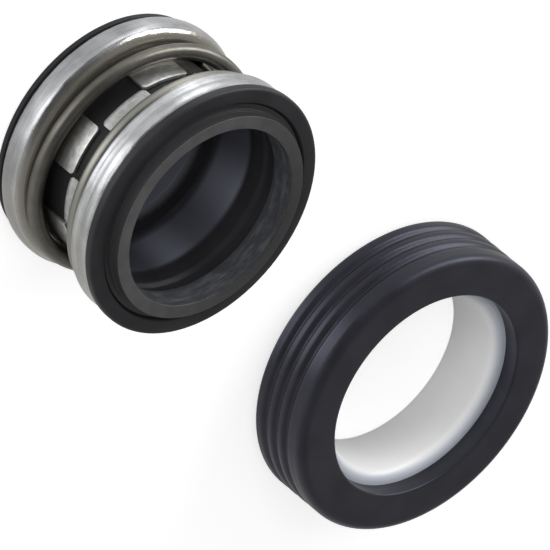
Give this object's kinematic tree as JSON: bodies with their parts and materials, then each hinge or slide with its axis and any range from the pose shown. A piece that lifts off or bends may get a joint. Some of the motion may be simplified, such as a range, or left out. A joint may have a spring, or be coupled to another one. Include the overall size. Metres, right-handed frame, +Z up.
{
  "type": "component mechanical seal",
  "caption": "Two-piece shaft seal: a sprung rotary head with a carbon face on a rubber bellows, and a ribbed rubber cup that holds its white ceramic seat.",
  "frame": {"origin": "on the floor at the middle of the set, halfway between its two ends along Y", "axes": "+Z up, along the axes of both pieces; the set lies along Y, with the rotary head towards +Y and the seat towards -Y"},
  "size_m": [0.0364, 0.0988, 0.02],
  "materials": {
    "carbon": "fine matt carbon-graphite, lapped on the nose",
    "bellows_rubber": "moulded, half matt",
    "pressed_stainless": "pressed stainless sheet, tumbled bright",
    "spring_wire": "drawn stainless wire, satin",
    "white_ceramic": "white alumina, smooth and half matt",
    "cup_rubber": "moulded, half matt with a soft sheen"
  },
  "bodies": {
    "seat": {"seat_ring": "white_ceramic", "seat_cup": "cup_rubber"},
    "tail": {"bellows": "bellows_rubber", "rear_shell": "pressed_stainless", "spring": "spring_wire"},
    "face": {"carbon_ring": "carbon", "front_shell": "pressed_stainless"}
  },
  "joints": [
    {"name": "head_spin", "type": "hinge", "parent": "seat", "child": "tail", "pos_m": [0, 0.03355, 0], "axis": [0, 0, 1], "continuous": true},
    {"name": "face_slide", "type": "slide", "parent": "tail", "child": "face", "axis": [0, 0, -1], "range_m": [0, 0.0035], "stiffness_N_per_m": 6000, "deforming": ["spring", "bellows"]}
  ]
}
